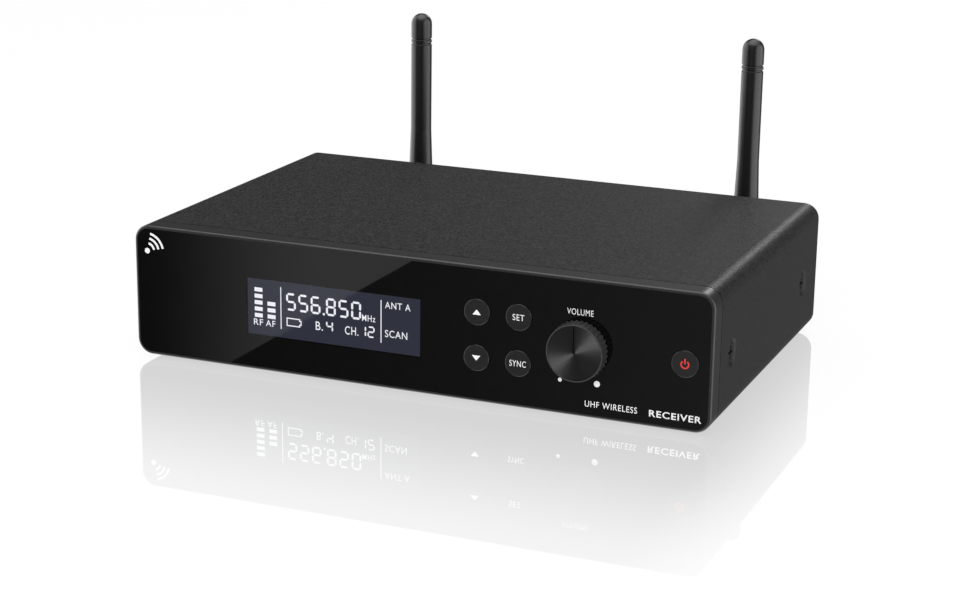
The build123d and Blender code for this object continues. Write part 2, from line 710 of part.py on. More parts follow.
def rf_shields():
    """Two shield cans, one for each antenna channel."""
    height = (BOARD_TOP, BOARD_TOP + SHIELD_H)
    return group([
        block(around(side * ANT_X, SHIELD_W), around(SHIELD_Y, SHIELD_D), height)
        for side in (-1, 1)
    ])


def capacitors():
    """Row of electrolytic capacitors in the middle of the main board."""
    first_x = -CAPACITOR_PITCH * (CAPACITORS - 1) / 2
    y = BOARD_FRONT_Y + CAPACITOR_IN
    return group([
        along_z(first_x + CAPACITOR_PITCH * i, y, BOARD_TOP, BOARD_TOP + CAPACITOR_H, CAPACITOR_R)
        for i in range(CAPACITORS)
    ])


def ic_packages():
    """Flat chip packages on the main board, in front of the shields."""
    room = SHIELD_Y - SHIELD_D / 2 - BOARD_FRONT_Y
    y = BOARD_FRONT_Y + CHIP_ROW * room
    return group([
        block(around(x, CHIP_W), around(y, CHIP_W), (BOARD_TOP, BOARD_TOP + CHIP_H))
        for x in CHIP_XS
    ])


def ribbon_nodes():
    """Flat cable between the two boards, and its two sockets."""
    x = RIBBON_X
    upper_z = FOOT_PROUD + SOCKET_UP * BODY_H
    lower_y = BOARD_FRONT_Y + SOCKET_IN
    front_y = UI_BACK + SOCKET_T
    main_top = BOARD_TOP + SOCKET_H
    control = block(around(x, SOCKET_W), (UI_BACK, front_y), around(upper_z, SOCKET_H))
    main = block(around(x, SOCKET_W), around(lower_y, SOCKET_T), (BOARD_TOP, main_top))
    start = Vector(x, front_y, upper_z)
    corner = (x, lower_y, upper_z)
    path = FilletPolyline(start, corner, (x, lower_y, main_top), radius=RIBBON_BEND_R)
    section = Plane(origin=start, x_dir=(1, 0, 0), z_dir=(0, 1, 0)) * Rectangle(RIBBON_W, RIBBON_T)
    return {"ribbon_sockets": group([control, main]), "ribbon_cable": sweep(section, path)}


# ---- rear jacks ----
def bnc_nodes():
    """The two BNC jacks, piece by piece, each kind of piece in one node."""
    shells, nuts, washers, cores, contacts = [], [], [], [], []
    end = REAR_OUT + BNC_L
    hex_front = REAR_IN - BNC_HEX_T
    tail = hex_front - BNC_TAIL_L
    nut_front = REAR_OUT + BNC_WASHER_T
    nut_bore = BNC_R + THREAD_CLEAR
    for side in (-1, 1):
        x = side * ANT_X
        shell = along_y(x, MID_Z, tail, end, BNC_R)
        shell += hexagon_y(x, MID_Z, hex_front, REAR_IN, BNC_HEX_AF)
        lug_y = REAR_OUT + BNC_LUG_AT * BNC_L
        shell += along_x(x - BNC_LUG_REACH, x + BNC_LUG_REACH, lug_y, MID_Z, BNC_LUG_R)
        shell -= along_y(x, MID_Z, REAR_OUT, end, BNC_BORE_R)
        shell -= along_y(x, MID_Z, tail, REAR_OUT, BNC_CORE_R)
        core = along_y(x, MID_Z, tail, end - BNC_CORE_SINK, BNC_CORE_R)
        core -= along_y(x, MID_Z, tail, end, BNC_CONTACT_R)
        contact = along_y(x, MID_Z, tail - BNC_CONTACT_TAIL, end - BNC_CONTACT_SINK, BNC_CONTACT_R)
        contact -= along_y(x, MID_Z, REAR_OUT, end, BNC_SOCKET_R)
        washer = along_y(x, MID_Z, REAR_OUT, nut_front, BNC_WASHER_R)
        nut = hexagon_y(x, MID_Z, nut_front, nut_front + BNC_NUT_T, BNC_HEX_AF)
        shells.append(shell)
        cores.append(core)
        contacts.append(contact)
        washers.append(washer - along_y(x, MID_Z, REAR_OUT, end, nut_bore))
        nuts.append(nut - along_y(x, MID_Z, REAR_OUT, end, nut_bore))
    return {
        "bnc_shells": group(shells),
        "bnc_nuts": group(nuts),
        "bnc_washers": group(washers),
        "bnc_insulators": group(cores),
        "bnc_contacts": group(contacts),
    }


def xlr_screw_places():
    """The XLR's two flange screws, in opposite corners."""
    return [(XLR_X + side * XLR_SCREW_X, MID_Z - side * XLR_SCREW_Z) for side in (-1, 1)]


def xlr_nodes():
    """Three-pin male XLR output: flanged shell, insert, pins and screws."""
    face = REAR_OUT + XLR_FLANGE_T
    insert_back = face - XLR_CUP_DEEP
    flange = extrude(RectangleRounded(XLR_FLANGE_W, XLR_FLANGE_H, XLR_CORNER_R), XLR_FLANGE_T)
    shell = Pos(XLR_X, REAR_OUT, MID_Z) * Rot(-90, 0, 0) * flange
    shell += along_y(XLR_X, MID_Z, REAR_OUT - XLR_BODY_L, REAR_OUT, XLR_R)
    shell -= along_y(XLR_X, MID_Z, REAR_OUT - XLR_BODY_L, face, XLR_CUP_R)
    hole_r = SMALL_SCREW_R + SMALL_SCREW_CLEAR
    shell = cut_all(shell, [along_y(x, z, REAR_OUT, face, hole_r) for x, z in xlr_screw_places()])
    insert = along_y(XLR_X, MID_Z, insert_back - XLR_INSERT_T, insert_back, XLR_CUP_R)
    pins = []
    for angle in XLR_PIN_ANGLES:
        x = XLR_X + XLR_PIN_RING_R * math.cos(math.radians(angle))
        z = MID_Z + XLR_PIN_RING_R * math.sin(math.radians(angle))
        pins.append(along_y(x, z, REAR_OUT - XLR_BODY_L - XLR_PIN_TAIL, face - XLR_PIN_SINK, XLR_PIN_R))
    screw = pan_screw(SMALL_HEAD_R, SMALL_HEAD_T, SMALL_SCREW_R, SMALL_SCREW_L)
    screws = [Pos(x, face, z) * Rot(-90, 0, 0) * screw for x, z in xlr_screw_places()]
    return {
        "xlr_shell": shell,
        "xlr_insert": cut_all(insert, pins),
        "xlr_pins": group(pins),
        "xlr_screws": group(screws),
    }


def jack_nodes():
    """6.3 mm jack output: body with its threaded bushing, and the nut."""
    end = REAR_OUT + JACK_BUSH_PROUD
    body = block(around(JACK_X, JACK_W), (REAR_IN - JACK_L, REAR_IN), around(MID_Z, JACK_H))
    body += along_y(JACK_X, MID_Z, REAR_IN, end, JACK_BUSH_R)
    body -= along_y(JACK_X, MID_Z, REAR_IN - JACK_L + JACK_END_WALL, end, JACK_BORE_R)
    nut = along_y(JACK_X, MID_Z, REAR_OUT, REAR_OUT + JACK_NUT_T, JACK_NUT_R)
    nut -= along_y(JACK_X, MID_Z, REAR_OUT, end, JACK_BUSH_R + THREAD_CLEAR)
    return {"jack_body": body, "jack_nut": nut}


def dc_nodes():
    """Low-voltage power inlet: body with its round socket, and the centre pin."""
    face = REAR_OUT + DC_PROUD
    body = block(around(DC_X, DC_W), (face - DC_L, face), around(DC_Z, DC_H))
    body -= along_y(DC_X, DC_Z, face - DC_BORE_DEEP, face, DC_BORE_R)
    pin = along_y(DC_X, DC_Z, face - DC_BORE_DEEP, face - DC_PIN_SINK, DC_PIN_R)
    return {"dc_inlet": body, "dc_pin": pin}


# ---- antennas ----
def antenna_ring(x):
    """Fluted bayonet ring around the jack and the plug's collar."""
    start, end = REAR_OUT + RING_START, REAR_OUT + RING_END
    ring = along_y(x, MID_Z, start, end, RING_R)
    ring = fillet(ring.edges().filter_by(GeomType.CIRCLE), RING_EDGE)
    ring -= along_y(x, MID_Z, start, end - RING_LIP_T, RING_BORE_R)
    ring -= along_y(x, MID_Z, end - RING_LIP_T, end, RING_LIP_R)
    flutes = [
        Pos(x, 0, MID_Z)
        * Rot(0, turn * 360 / RING_FLUTES, 0)
        * along_y(RING_R + RING_FLUTE_OUT, 0, start, end - 2 * RING_LIP_T, RING_FLUTE_R)
        for turn in range(RING_FLUTES)
    ]
    return cut_all(ring, flutes)


def antenna_base(x):
    """Plug, collar and neck with the yoke that holds the hinge pin."""
    neck_start = REAR_OUT + RING_END - RING_LIP_T
    collar_start = REAR_OUT + PLUG_COLLAR_START
    sleeve = along_y(x, MID_Z, REAR_OUT + PLUG_START, collar_start, PLUG_SLEEVE_R)
    sleeve -= along_y(x, MID_Z, REAR_OUT + PLUG_START, collar_start, PLUG_SLEEVE_BORE_R)
    pin = along_y(x, MID_Z, REAR_OUT + PLUG_START, collar_start, PLUG_PIN_R)
    collar = along_y(x, MID_Z, collar_start, neck_start - HINGE_CLEAR, PLUG_COLLAR_R)
    neck = along_y(x, MID_Z, neck_start - HINGE_CLEAR, REAR_OUT + YOKE_START, NECK_R)
    root = along_y(x, MID_Z, REAR_OUT + YOKE_START, REAR_OUT + YOKE_SLOT_START, YOKE_R)
    ear_front = REAR_OUT + YOKE_SLOT_START - JOIN
    ears = block(around(x, 2 * EAR_OUT), (ear_front, HINGE_Y), around(MID_Z, 2 * EAR_R))
    ears += along_x(x - EAR_OUT, x + EAR_OUT, HINGE_Y, MID_Z, EAR_R)
    slot_half = TONGUE_HALF + TONGUE_GAP
    ears -= block(
        (x - slot_half, x + slot_half),
        (REAR_OUT + YOKE_SLOT_START, HINGE_Y + EAR_R + OVERCUT),
        around(MID_Z, 2 * (EAR_R + OVERCUT)),
    )
    ears -= along_x(x - EAR_OUT, x + EAR_OUT, HINGE_Y, MID_Z, HINGE_PIN_R)
    return join_all([collar, sleeve, pin, neck, root, ears])


def antenna_rod(x):
    """Rubber-covered rod: hinge tongue, flared root, two grooves and a domed tip."""
    root = MID_Z + ROD_SHOULDER
    flare_top = FOOT_PROUD + ROD_FLARE_TOP
    tip = FOOT_PROUD + ANT_TOP
    dome = tip - ROD_R
    flare = Pos(x, HINGE_Y, (root + flare_top) / 2) * Cone(ROD_ROOT_R, ROD_R, flare_top - root)
    rod = flare + along_z(x, HINGE_Y, flare_top, dome, ROD_R)
    rod += Pos(x, HINGE_Y, dome) * Sphere(ROD_R)
    for below in ROD_GROOVES:
        rod -= Pos(x, HINGE_Y, tip - below) * Torus(ROD_R + ROD_GROOVE_OUT, ROD_GROOVE_R)
    half = (x - TONGUE_HALF, x + TONGUE_HALF)
    tongue = along_x(*half, HINGE_Y, MID_Z, EAR_R)
    tongue += block(half, around(HINGE_Y, TONGUE_W), (MID_Z, root + JOIN))
    return rod + tongue - along_x(*half, HINGE_Y, MID_Z, HINGE_PIN_R + HINGE_CLEAR)


def antenna_nodes():
    """Ring, base, hinge pin and rod of each antenna."""
    nodes = {}
    for name, side in SIDES.items():
        x = side * ANT_X
        nodes[f"antenna_ring_{name}"] = antenna_ring(x)
        nodes[f"antenna_base_{name}"] = antenna_base(x)
        nodes[f"antenna_pin_{name}"] = along_x(x - EAR_OUT, x + EAR_OUT, HINGE_Y, MID_Z, HINGE_PIN_R)
        nodes[f"antenna_rod_{name}"] = antenna_rod(x)
    return nodes


def all_nodes():
    """Every piece by its node's name."""
    nodes = {
        "top_cover": top_cover(),
        "bottom_chassis": bottom_chassis(),
        "rear_panel": rear_panel(),
        "front_bezel": front_bezel(),
        "front_panel": front_panel(),
        "feet": feet(),
        "side_screws": side_screws(),
        "rear_screws": rear_screws(),
        "cable_hook": cable_hook(),
        "ui_board": ui_board(),
        "tact_switches": group([tact_body(x, z) for x, z in BUTTONS.values()]),
        "status_led": status_led(),
        "volume_knob": volume_knob(),
        "knob_face": knob_face(),
        "main_board": main_board(),
        "board_standoffs": board_standoffs(),
        "board_screws": board_screws(),
        "rf_shields": rf_shields(),
        "capacitors": capacitors(),
        "ic_packages": ic_packages(),
    }
    for name, (x, z) in BUTTONS.items():
        nodes[f"button_{name}"] = button_cap(x, z)
        nodes[f"tact_stem_{name}"] = tact_stem(x, z)
    for more in (display_nodes(), pot_nodes(), ribbon_nodes(), bnc_nodes(), xlr_nodes(), jack_nodes(),
                 dc_nodes(), antenna_nodes()):
        nodes.update(more)
    return nodes


def write_parts():
    """Writes each piece to its own STEP file, with the origin under the middle of the object."""
    os.makedirs("parts", exist_ok=True)
    to_origin = Pos(0, -(KNOB_FRONT + ANT_BACK) / 2, 0)
    for name, shape in all_nodes().items():
        export_step(to_origin * shape, f"parts/{name}.step")


write_parts()
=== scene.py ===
import math

import bmesh
import bpy
from mathutils import Matrix, Vector
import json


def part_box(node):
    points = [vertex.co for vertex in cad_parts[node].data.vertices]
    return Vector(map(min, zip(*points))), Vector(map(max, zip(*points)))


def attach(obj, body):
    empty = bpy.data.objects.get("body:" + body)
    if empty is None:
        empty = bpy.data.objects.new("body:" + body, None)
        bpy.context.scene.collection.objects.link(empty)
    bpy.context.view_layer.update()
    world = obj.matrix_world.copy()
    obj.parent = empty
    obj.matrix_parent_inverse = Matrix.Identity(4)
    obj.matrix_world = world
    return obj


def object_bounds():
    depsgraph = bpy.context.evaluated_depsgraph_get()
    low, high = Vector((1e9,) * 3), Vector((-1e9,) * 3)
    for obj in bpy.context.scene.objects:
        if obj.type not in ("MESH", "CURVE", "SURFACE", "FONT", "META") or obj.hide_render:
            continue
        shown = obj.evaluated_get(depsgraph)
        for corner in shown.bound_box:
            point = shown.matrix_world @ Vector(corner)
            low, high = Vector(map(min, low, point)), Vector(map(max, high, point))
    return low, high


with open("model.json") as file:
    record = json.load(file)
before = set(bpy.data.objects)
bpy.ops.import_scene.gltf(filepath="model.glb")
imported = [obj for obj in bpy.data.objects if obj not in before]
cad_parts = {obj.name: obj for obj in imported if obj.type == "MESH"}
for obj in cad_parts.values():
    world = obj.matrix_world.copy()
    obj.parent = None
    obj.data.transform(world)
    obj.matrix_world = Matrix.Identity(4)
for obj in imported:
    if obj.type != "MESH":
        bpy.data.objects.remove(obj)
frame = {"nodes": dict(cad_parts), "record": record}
CAD_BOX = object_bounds()
MM = 0.001

# ---- camera ----
CAMERA_PLACE = Vector((0.2699, -0.6789, 0.2226))
CAMERA_YAW = 22.323       # degrees towards -X from looking along +Y
CAMERA_PITCH = 16.079     # degrees below the horizon
CAMERA_ROLL = 0.772
CAMERA_LENS = 81.78
SENSOR_WIDTH = 36         # mm


def make_camera():
    """The camera at the front right, above the object."""
    yaw, pitch, roll = (math.radians(v) for v in (CAMERA_YAW, CAMERA_PITCH, CAMERA_ROLL))
    level = Vector((-math.sin(yaw), math.cos(yaw), 0))
    up = Vector((0, 0, 1))
    forward = level * math.cos(pitch) - up * math.sin(pitch)
    above = up * math.cos(pitch) + level * math.sin(pitch)
    right = forward.cross(above)
    tilted_right = right * math.cos(roll) + above * math.sin(roll)
    tilted_up = above * math.cos(roll) - right * math.sin(roll)
    data = bpy.data.cameras.new("camera")
    data.lens = CAMERA_LENS
    data.sensor_width = SENSOR_WIDTH
    camera = bpy.data.objects.new("camera", data)
    bpy.context.scene.collection.objects.link(camera)
    turn = Matrix((tilted_right, tilted_up, -forward)).transposed().to_4x4()
    camera.matrix_world = Matrix.Translation(CAMERA_PLACE) @ turn
    bpy.context.scene.camera = camera


make_camera()


# ---- materials ----
GRAIN_DETAIL = 3.0
ROUGH_BETWEEN = (0.3, 0.7)     # noise values over which the roughness spreads
COLOUR_BETWEEN = (0.35, 0.65)  # noise values over which the colour spreads


def new_material(name):
    """An empty node material with its shader."""
    material = bpy.data.materials.new(name)
    material.use_nodes = True
    return material, material.node_tree, material.node_tree.nodes["Principled BSDF"]


def grain(tree, shader, size_mm, depth_mm, rough, colour):
    """Fine surface grain in the object's own space: bump, and a spread of roughness and colour."""
    place = tree.nodes.new("ShaderNodeTexCoord")
    noise = tree.nodes.new("ShaderNodeTexNoise")
    noise.inputs["Scale"].default_value = 1 / (size_mm * MM)
    noise.inputs["Detail"].default_value = GRAIN_DETAIL
    tree.links.new(place.outputs["Object"], noise.inputs["Vector"])
    if depth_mm:
        bump = tree.nodes.new("ShaderNodeBump")
        bump.inputs["Distance"].default_value = depth_mm * MM
        bump.inputs["Strength"].default_value = 1.0
        tree.links.new(noise.outputs["Fac"], bump.inputs["Height"])
        tree.links.new(bump.outputs["Normal"], shader.inputs["Normal"])
    spread = tree.nodes.new("ShaderNodeMapRange")
    spread.inputs["From Min"].default_value = ROUGH_BETWEEN[0]
    spread.inputs["From Max"].default_value = ROUGH_BETWEEN[1]
    spread.inputs["To Min"].default_value = rough[0]
    spread.inputs["To Max"].default_value = rough[1]
    tree.links.new(noise.outputs["Fac"], spread.inputs["Value"])
    tree.links.new(spread.outputs["Result"], shader.inputs["Roughness"])
    ramp = tree.nodes.new("ShaderNodeValToRGB")
    for element, position, shade in zip(ramp.color_ramp.elements, COLOUR_BETWEEN, colour):
        element.position = position
        element.color = (*shade, 1)
    tree.links.new(noise.outputs["Fac"], ramp.inputs["Fac"])
    tree.links.new(ramp.outputs["Color"], shader.inputs["Base Color"])


def grey(value, warm=0.0):
    """A neutral colour."""
    return (value * (1 + warm), value, value * (1 - warm))


def grained(name, dark, light, rough, size_mm, depth_mm, metallic=0.0, specular=0.5):
    """A material whose colour, roughness and bump follow a fine grain."""
    material, tree, shader = new_material(name)
    shader.inputs["Metallic"].default_value = metallic
    shader.inputs["Specular IOR Level"].default_value = specular
    grain(tree, shader, size_mm, depth_mm, rough=rough, colour=(dark, light))
    return material


def spun_metal(name):
    """Turned aluminium: highlights fan out from the axis."""
    material, tree, shader = new_material(name)
    shader.inputs["Metallic"].default_value = 1.0
    shader.inputs["Anisotropic"].default_value = 0.88
    grain(tree, shader, 0.4, 0, rough=(0.32, 0.36), colour=(grey(0.030), grey(0.036)))
    low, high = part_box("knob_face")
    middle = (low + high) / 2
    place = tree.nodes.new("ShaderNodeTexCoord")
    shift = tree.nodes.new("ShaderNodeVectorMath")
    shift.operation = "SUBTRACT"
    shift.inputs[1].default_value = middle
    tree.links.new(place.outputs["Object"], shift.inputs[0])
    unit = tree.nodes.new("ShaderNodeVectorMath")
    unit.operation = "NORMALIZE"
    tree.links.new(shift.outputs["Vector"], unit.inputs[0])
    tree.links.new(unit.outputs["Vector"], shader.inputs["Tangent"])
    return material


def clear_window(name):
    """Clear tinted window over the display."""
    material, tree, shader = new_material(name)
    shader.inputs["Transmission Weight"].default_value = 1.0
    shader.inputs["IOR"].default_value = 1.49
    grain(tree, shader, 3.0, 0, rough=(0.02, 0.025), colour=(grey(0.94), grey(0.95)))
    return material


def glowing(name, colour, strength, base=0.02):
    """A lit surface, such as a display segment or a status lamp."""
    material, tree, shader = new_material(name)
    shader.inputs["Emission Color"].default_value = (*colour, 1)
    shader.inputs["Emission Strength"].default_value = strength
    grain(tree, shader, 0.3, 0, rough=(0.35, 0.45), colour=(grey(base), grey(base * 1.2)))
    return material


def make_materials():
    """One material for each of the record's material slots."""
    made = {
        "cover_paint": grained("cover_paint", grey(0.004), grey(0.020), (0.36, 0.52), 0.8, 0.05,
                               specular=0.3),
        "bezel_paint": grained("bezel_paint", grey(0.016), grey(0.021), (0.31, 0.37), 0.25, 0.003),
        "rear_paint": grained("rear_paint", grey(0.020), grey(0.026), (0.48, 0.58), 0.35, 0.012),
        "chassis_steel": grained("chassis_steel", grey(0.022), grey(0.028), (0.48, 0.58), 0.35, 0.012),
        "panel_gloss": grained("panel_gloss", grey(0.0015), grey(0.002), (0.010, 0.014), 4.0, 0),
        "window_tint": clear_window("window_tint"),
        "lcd_face": glowing("lcd_face", (0.55, 0.62, 0.95), 0.05),
        "button_plastic": grained("button_plastic", grey(0.015), grey(0.017), (0.11, 0.14), 0.2, 0.001),
        "knob_body": grained("knob_body", grey(0.045), grey(0.055), (0.3, 0.36), 0.2, 0.002),
        "knob_metal": spun_metal("knob_metal"),
        "antenna_rubber": grained("antenna_rubber", grey(0.007), grey(0.010), (0.27, 0.33), 0.3,
                                  0.002),
        "antenna_black": grained("antenna_black", grey(0.009), grey(0.013), (0.30, 0.38), 0.3,
                                 0.004),
        "foot_rubber": grained("foot_rubber", grey(0.012), grey(0.016), (0.7, 0.8), 0.3, 0.01),
        "screw_black": grained("screw_black", grey(0.012), grey(0.018), (0.22, 0.3), 0.3, 0.003),
        "steel_bright": grained("steel_bright", grey(0.5), grey(0.6), (0.25, 0.35), 0.3, 0.003,
                                metallic=1.0),
        "nickel_plate": grained("nickel_plate", grey(0.58, 0.02), grey(0.66, 0.02), (0.12, 0.2), 0.5,
                                0.002, metallic=1.0),
        "brass_part": grained("brass_part", (0.6, 0.42, 0.16), (0.7, 0.5, 0.2), (0.2, 0.3), 0.4, 0.002,
                              metallic=1.0),
        "tin_plate": grained("tin_plate", grey(0.52), grey(0.6), (0.25, 0.35), 0.8, 0.004, metallic=1.0),
        "black_plastic": grained("black_plastic", grey(0.012), grey(0.017), (0.42, 0.5), 0.25, 0.006),
        "white_plastic": grained("white_plastic", grey(0.62), grey(0.68), (0.4, 0.5), 0.3, 0.004),
        "switch_case": grained("switch_case", grey(0.02), grey(0.03), (0.4, 0.5), 0.3, 0.004),
        "switch_stem": grained("switch_stem", (0.2, 0.05, 0.03), (0.24, 0.06, 0.035), (0.35, 0.45),
                               0.3, 0.002),
        "led_lens": glowing("led_lens", (1.0, 0.05, 0.03), 2.0),
        "circuit_board": grained("circuit_board", (0.012, 0.10, 0.04), (0.018, 0.13, 0.055),
                                 (0.25, 0.35), 1.2, 0.01),
        "capacitor_sleeve": grained("capacitor_sleeve", (0.01, 0.015, 0.05), (0.015, 0.02, 0.065),
                                    (0.2, 0.3), 0.5, 0.002),
        "ribbon_grey": grained("ribbon_grey", grey(0.36), grey(0.42), (0.45, 0.55), 0.5, 0.004),
    }
    return made


MATERIALS = make_materials()


def dress_cad_nodes():
    """Gives every CAD node the material of its slot."""
    for part in frame["record"]["subparts"]:
        mesh = frame["nodes"][part["node"]].data
        mesh.materials.clear()
        mesh.materials.append(MATERIALS[part["material_slot"]])


dress_cad_nodes()

# ---- legends and display contents ----
PRINT_T = 0.03 * MM
PRINT_WHITE = grained("print_white", grey(0.88), grey(0.92), (0.4, 0.5), 0.2, 0)
SEGMENT_WHITE = glowing("segment_white", (0.92, 0.94, 1.0), 0.95)
POWER_RED = glowing("power_red", (1.0, 0.03, 0.035), 0.75)
LETTER_SPACE = 1.12
LETTER_STEPS = 6          # points on each curve of a letter

# Sizes in mm, with a (width, capital height) for words.
VOLUME_Z = 31.6
VOLUME_SIZE = (8.6, 1.95)
UNIT_IN_X, UNIT_Z = 31.0, 2.5
UNIT_SIZE = (17.0, 2.0)
KIND_IN_X, KIND_Z = 10.3, 2.2
KIND_SIZE = (16.7, 2.2)
KIND_BOLD = 0.02
END_DOTS = (              # name, degrees from 12 o'clock, distance from the knob's middle, radius
    ("legend_dot_min", -150, 12.25, 0.65),
    ("legend_dot_max", 150, 12.0, 1.0),
)
WAVE_IN_X, WAVE_IN_Z = 3.6, 7.6
WAVE_DOT_R = 0.95
WAVE_RADII = (2.6, 4.3, 6.0)
WAVE_SPAN = (12, 78)      # degrees from 12 o'clock
WAVE_WIDTH = 0.75
ARROW_HALF_W, ARROW_HALF_H = 1.45, 0.85
BUTTON_WORDS = (("set", "SET", 3.9), ("sync", "SYNC", 5.5))
BUTTON_CAP = 2.0
POWER_RING_R = 1.2
POWER_RING_DROP = 0.1
POWER_RING_SPAN = (38, 322)
POWER_BAR = 1.7
POWER_STROKE = 0.45


def flat_piece(name, outlines, y_back, material):
    """A thin plate made of closed outlines of (x, z), standing at y_back and facing the front."""
    mesh = bpy.data.meshes.new(name)
    shape = bmesh.new()
    for outline in outlines:
        back = [shape.verts.new((x, y_back, z)) for x, z in outline]
        front = [shape.verts.new((x, y_back - PRINT_T, z)) for x, z in outline]
        shape.faces.new(front)
        shape.faces.new(list(reversed(back)))
        for i in range(len(outline)):
            j = (i + 1) % len(outline)
            shape.faces.new((front[i], back[i], back[j], front[j]))
    bmesh.ops.recalc_face_normals(shape, faces=shape.faces)
    shape.to_mesh(mesh)
    shape.free()
    mesh.materials.append(material)
    piece = bpy.data.objects.new(name, mesh)
    bpy.context.scene.collection.objects.link(piece)
    return piece


def ribbon_outline(points, width):
    """Outline of a stroke of one width along a run of (x, z) points."""
    left, right = [], []
    for i, (x, z) in enumerate(points):
        before = points[max(i - 1, 0)]
        after = points[min(i + 1, len(points) - 1)]
        along = Vector((after[0] - before[0], after[1] - before[1])).normalized()
        left.append((x - along.y * width / 2, z + along.x * width / 2))
        right.append((x + along.y * width / 2, z - along.x * width / 2))
    return left + list(reversed(right))


def arc_points(x, z, radius, start, end, steps=24):
    """Points on an arc, in degrees clockwise from 12 o'clock."""
    turns = [math.radians(start + (end - start) * i / steps) for i in range(steps + 1)]
    return [(x + radius * math.sin(t), z + radius * math.cos(t)) for t in turns]


def disc_outline(x, z, radius, steps=40):
    """Points round a full circle."""
    return arc_points(x, z, radius, 0, 360 * (steps - 1) / steps, steps - 1)


def lettering(name, words, middle_x, base_z, size, y_back, material, bold=0.0):
    """Printed words, fitted to a width and a capital height, facing the front."""
    curve = bpy.data.curves.new(name, "FONT")
    curve.body = words
    curve.size = 1.0
    curve.space_character = LETTER_SPACE
    curve.offset = bold
    curve.resolution_u = LETTER_STEPS
    text = bpy.data.objects.new(name, curve)
    bpy.context.scene.collection.objects.link(text)
    bpy.context.view_layer.update()
    mesh = bpy.data.meshes.new_from_object(text)
    bpy.data.objects.remove(text)
    xs = [v.co.x for v in mesh.vertices]
    ys = [v.co.y for v in mesh.vertices]
    scale_x = size[0] / (max(xs) - min(xs))
    scale_z = size[1] / (max(ys) - min(ys))
    for v in mesh.vertices:
        x = (v.co.x - (max(xs) + min(xs)) / 2) * scale_x
        z = (v.co.y - min(ys)) * scale_z
        v.co = (middle_x + x, y_back, base_z + z)
    shape = bmesh.new()
    shape.from_mesh(mesh)
    raised = bmesh.ops.extrude_face_region(shape, geom=shape.faces[:])
    moved = [v for v in raised["geom"] if isinstance(v, bmesh.types.BMVert)]
    bmesh.ops.translate(shape, vec=(0, -PRINT_T, 0), verts=moved)
    bmesh.ops.recalc_face_normals(shape, faces=shape.faces)
    shape.to_mesh(mesh)
    shape.free()
    mesh.materials.clear()
    mesh.materials.append(material)
    piece = bpy.data.objects.new(name, mesh)
    bpy.context.scene.collection.objects.link(piece)
    return piece


def in_metres(values):
    """Sizes in mm as metres."""
    return tuple(value * MM for value in values)


def middle_of(node):
    """The middle of a CAD node's box."""
    low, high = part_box(node)
    return (low + high) / 2


def front_print(piece, body="housing"):
    """A print on the front: it rides on a body."""
    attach(piece, body)


PANEL_LOW, PANEL_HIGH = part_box("front_panel")
PANEL_FACE = PANEL_LOW.y
KNOB = middle_of("volume_knob")


def panel_legends():
    """Volume legend, the two end dots of its travel, and the unit's words."""
    right = PANEL_HIGH.x
    foot = PANEL_LOW.z
    front_print(lettering("legend_volume", "VOLUME", KNOB.x, foot + VOLUME_Z * MM,
                          in_metres(VOLUME_SIZE), PANEL_FACE, PRINT_WHITE))
    front_print(lettering("legend_unit", "UHF WIRELESS", right - UNIT_IN_X * MM, foot + UNIT_Z * MM,
                          in_metres(UNIT_SIZE), PANEL_FACE, PRINT_WHITE))
    front_print(lettering("legend_kind", "RECEIVER", right - KIND_IN_X * MM, foot + KIND_Z * MM,
                          in_metres(KIND_SIZE), PANEL_FACE, PRINT_WHITE, bold=KIND_BOLD))
    for name, angle, away, radius in END_DOTS:
        x, z = arc_points(KNOB.x, KNOB.z, away * MM, angle, angle, 1)[0]
        front_print(flat_piece(name, [disc_outline(x, z, radius * MM)], PANEL_FACE, PRINT_WHITE))


def wave_mark():
    """Small mark of a dot and radio waves in the panel's upper left corner."""
    x = PANEL_LOW.x + WAVE_IN_X * MM
    z = PANEL_HIGH.z - WAVE_IN_Z * MM
    outlines = [disc_outline(x, z, WAVE_DOT_R * MM)]
    for radius in WAVE_RADII:
        outlines.append(ribbon_outline(arc_points(x, z, radius * MM, *WAVE_SPAN), WAVE_WIDTH * MM))
    front_print(flat_piece("legend_waves", outlines, PANEL_FACE, PRINT_WHITE))


def button_legends():
    """Arrows and words on the round buttons, and the lit power symbol."""
    cap_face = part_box("button_up")[0].y
    half_w, half_h = ARROW_HALF_W * MM, ARROW_HALF_H * MM
    for name, way in (("up", 1), ("down", -1)):
        middle = middle_of(f"button_{name}")
        arrow = [
            (middle.x - half_w, middle.z - way * half_h),
            (middle.x + half_w, middle.z - way * half_h),
            (middle.x, middle.z + way * half_h),
        ]
        piece = flat_piece(f"legend_{name}", [arrow], cap_face, PRINT_WHITE)
        front_print(piece, f"button_{name}_body")
    for name, words, width in BUTTON_WORDS:
        middle = middle_of(f"button_{name}")
        piece = lettering(f"legend_{name}", words, middle.x, middle.z - BUTTON_CAP / 2 * MM,
                          in_metres((width, BUTTON_CAP)), cap_face, PRINT_WHITE)
        front_print(piece, f"button_{name}_body")
    middle = middle_of("button_power")
    stroke = POWER_STROKE * MM
    ring = ribbon_outline(arc_points(middle.x, middle.z - POWER_RING_DROP * MM, POWER_RING_R * MM,
                                     *POWER_RING_SPAN), stroke)
    bar = ribbon_outline([(middle.x, middle.z), (middle.x, middle.z + POWER_BAR * MM)], stroke)
    symbol = flat_piece("legend_power", [ring, bar], cap_face, POWER_RED)
    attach(symbol, "button_power_body")


